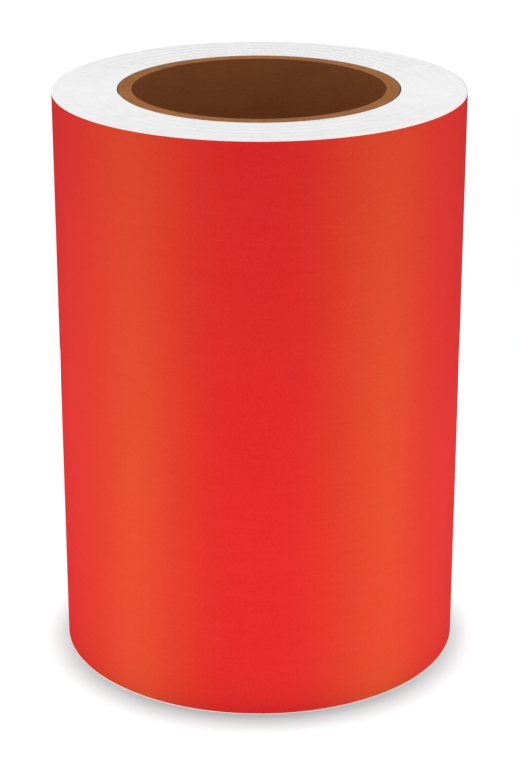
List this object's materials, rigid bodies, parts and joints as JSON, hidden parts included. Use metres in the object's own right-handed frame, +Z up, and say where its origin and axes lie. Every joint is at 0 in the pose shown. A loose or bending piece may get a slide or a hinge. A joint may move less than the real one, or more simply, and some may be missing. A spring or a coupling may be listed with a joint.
{
  "type": "roll of sign vinyl",
  "caption": "Upright roll of red self-adhesive sign vinyl wound on a brown paperboard core, with a tail flap that lifts off the roll and a film end that peels from its white release liner.",
  "frame": {"origin": "centre of the core bore at the roll's bottom end", "axes": "+Z up along the core's axis; the plain front of the roll faces -Y and the cut tail edge lies on the +Y side"},
  "size_m": [0.1241, 0.1242, 0.1778],
  "materials": {
    "core_board": "matte spirally wound paperboard",
    "core_kraft_lining": "matte dark brown kraft",
    "core_kraft_cover": "matte brown kraft",
    "double_sided_tape": "translucent double-sided tape",
    "wound_web": "matte cut edges of wound liner and film",
    "vinyl_film": "satin to gloss calendered vinyl",
    "adhesive": "clear to grey pressure-sensitive adhesive",
    "release_liner": "smooth silicone-coated white paper",
    "closure_tape": "matte translucent paper-film tape"
  },
  "bodies": {
    "roll": {"core_ply_1_inner": "core_kraft_lining", "core_ply_2": "core_board", "core_ply_3": "core_board", "core_ply_4": "core_board", "core_ply_5": "core_board", "core_ply_6": "core_board", "core_ply_7": "core_board", "core_ply_8_outer": "core_kraft_cover", "core_start_tape": "double_sided_tape", "inner_windings": "wound_web", "outer_wrap_liner": "release_liner", "outer_wrap_adhesive": "adhesive", "outer_wrap_film": "vinyl_film"},
    "tail_1": {"tail_1_liner": "release_liner", "tail_1_adhesive": "adhesive", "tail_1_film": "vinyl_film"},
    "tail_2": {"tail_2_liner": "release_liner", "tail_2_adhesive": "adhesive", "tail_2_film": "vinyl_film"},
    "tail_3": {"tail_3_liner": "release_liner", "tail_3_adhesive": "adhesive", "tail_3_film": "vinyl_film"},
    "tail_4": {"tail_4_liner": "release_liner", "tail_4_adhesive": "adhesive", "tail_4_film": "vinyl_film"},
    "tail_5": {"tail_5_liner": "release_liner", "tail_5_adhesive": "adhesive", "tail_5_film": "vinyl_film"},
    "tail_6": {"tail_6_liner": "release_liner", "tail_6_adhesive": "adhesive", "tail_6_film": "vinyl_film"},
    "peel_1": {"peel_1_adhesive": "adhesive", "peel_1_film": "vinyl_film"},
    "peel_2": {"peel_2_adhesive": "adhesive", "peel_2_film": "vinyl_film"},
    "peel_3": {"peel_3_adhesive": "adhesive", "peel_3_film": "vinyl_film", "closure_tape": "closure_tape"}
  },
  "joints": [
    {"name": "tail_lift", "type": "hinge", "parent": "roll", "child": "tail_1", "pos_m": [0.0416, 0.0462, 0.0889], "axis": [0, 0, -1], "range_deg": [0, 15]},
    {"name": "tail_bend_2", "type": "hinge", "parent": "tail_1", "child": "tail_2", "pos_m": [0.03294, 0.05272, 0.0889], "axis": [0, 0, -1], "range_deg": [0, 15]},
    {"name": "tail_bend_3", "type": "hinge", "parent": "tail_2", "child": "tail_3", "pos_m": [0.02329, 0.05764, 0.0889], "axis": [0, 0, -1], "range_deg": [0, 15]},
    {"name": "tail_bend_4", "type": "hinge", "parent": "tail_3", "child": "tail_4", "pos_m": [0.01293, 0.06081, 0.0889], "axis": [0, 0, -1], "range_deg": [0, 15]},
    {"name": "tail_bend_5", "type": "hinge", "parent": "tail_4", "child": "tail_5", "pos_m": [0.00217, 0.06213, 0.0889], "axis": [0, 0, -1], "range_deg": [0, 15]},
    {"name": "tail_bend_6", "type": "hinge", "parent": "tail_5", "child": "tail_6", "pos_m": [-0.00865, 0.06156, 0.0889], "axis": [0, 0, -1], "range_deg": [0, 15]},
    {"name": "film_peel", "type": "hinge", "parent": "tail_6", "child": "peel_1", "pos_m": [-0.01818, 0.05945, 0.0889], "axis": [0, 0, -1], "range_deg": [0, 40]},
    {"name": "film_bend_2", "type": "hinge", "parent": "peel_1", "child": "peel_2", "pos_m": [-0.02529, 0.05679, 0.0889], "axis": [0, 0, -1], "range_deg": [0, 40]},
    {"name": "film_bend_3", "type": "hinge", "parent": "peel_2", "child": "peel_3", "pos_m": [-0.03202, 0.05329, 0.0889], "axis": [0, 0, -1], "range_deg": [0, 40]}
  ],
  "couplings": [
    {"joint": "tail_bend_2", "follows": "tail_lift", "ratio": 1},
    {"joint": "tail_bend_3", "follows": "tail_lift", "ratio": 1},
    {"joint": "tail_bend_4", "follows": "tail_lift", "ratio": 1},
    {"joint": "tail_bend_5", "follows": "tail_lift", "ratio": 1},
    {"joint": "tail_bend_6", "follows": "tail_lift", "ratio": 1},
    {"joint": "film_bend_2", "follows": "film_peel", "ratio": 1},
    {"joint": "film_bend_3", "follows": "film_peel", "ratio": 1}
  ]
}
